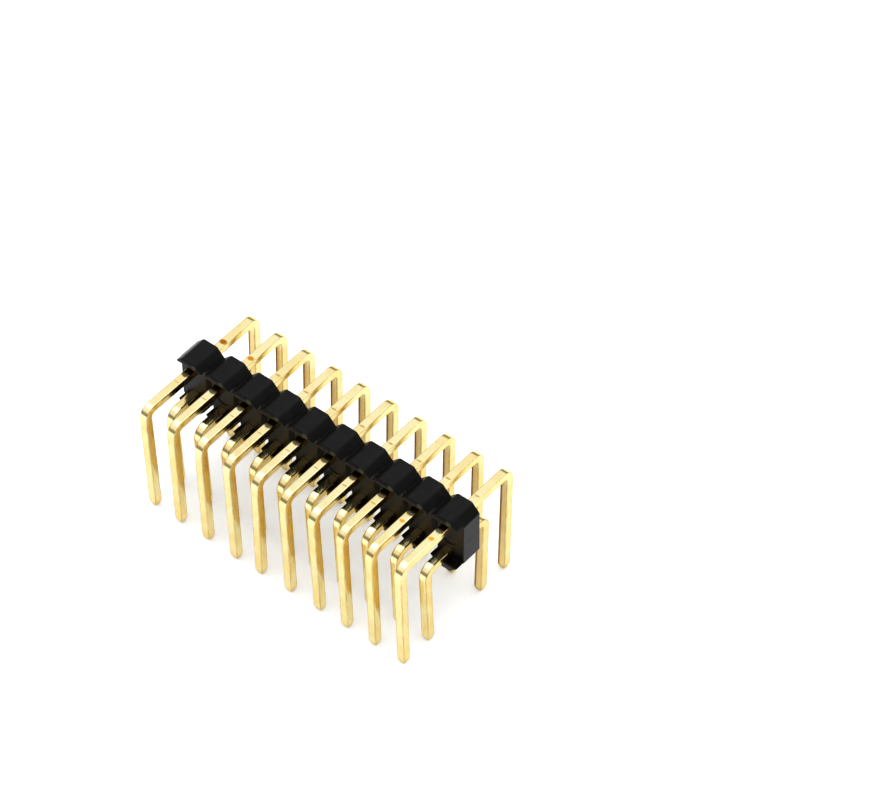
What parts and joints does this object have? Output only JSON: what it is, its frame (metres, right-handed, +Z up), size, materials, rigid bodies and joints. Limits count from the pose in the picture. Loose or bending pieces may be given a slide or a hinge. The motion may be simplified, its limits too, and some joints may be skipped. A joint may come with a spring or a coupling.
{
  "type": "pin header strip",
  "caption": "Two-row pin header strip: a black moulded block of bevelled cells with gold square contacts bent down on both sides, tall ones outside short ones.",
  "frame": {"origin": "centre of the bounding box in plan, on the plane of the leg tips", "axes": "+X along the strip, +Y towards the plain face of the housing, away from its recess, +Z up, from the leg tips to the housing"},
  "size_m": [0.0254, 0.012, 0.0111],
  "materials": {
    "housing_plastic": "charcoal black moulded plastic, fine matt grain with a soft sheen",
    "gold_plating": "thin pale gold plating on square brass wire, bright, with faint drawing lines and brighter rounded edges"
  },
  "bodies": {
    "root": {"housing": "housing_plastic", "upper_pin_1": "gold_plating", "upper_pin_2": "gold_plating", "upper_pin_3": "gold_plating", "upper_pin_4": "gold_plating", "upper_pin_5": "gold_plating", "upper_pin_6": "gold_plating", "upper_pin_7": "gold_plating", "upper_pin_8": "gold_plating", "upper_pin_9": "gold_plating", "upper_pin_10": "gold_plating", "lower_pin_1": "gold_plating", "lower_pin_2": "gold_plating", "lower_pin_3": "gold_plating", "lower_pin_4": "gold_plating", "lower_pin_5": "gold_plating", "lower_pin_6": "gold_plating", "lower_pin_7": "gold_plating", "lower_pin_8": "gold_plating", "lower_pin_9": "gold_plating", "lower_pin_10": "gold_plating"}
  },
  "joints": []
}
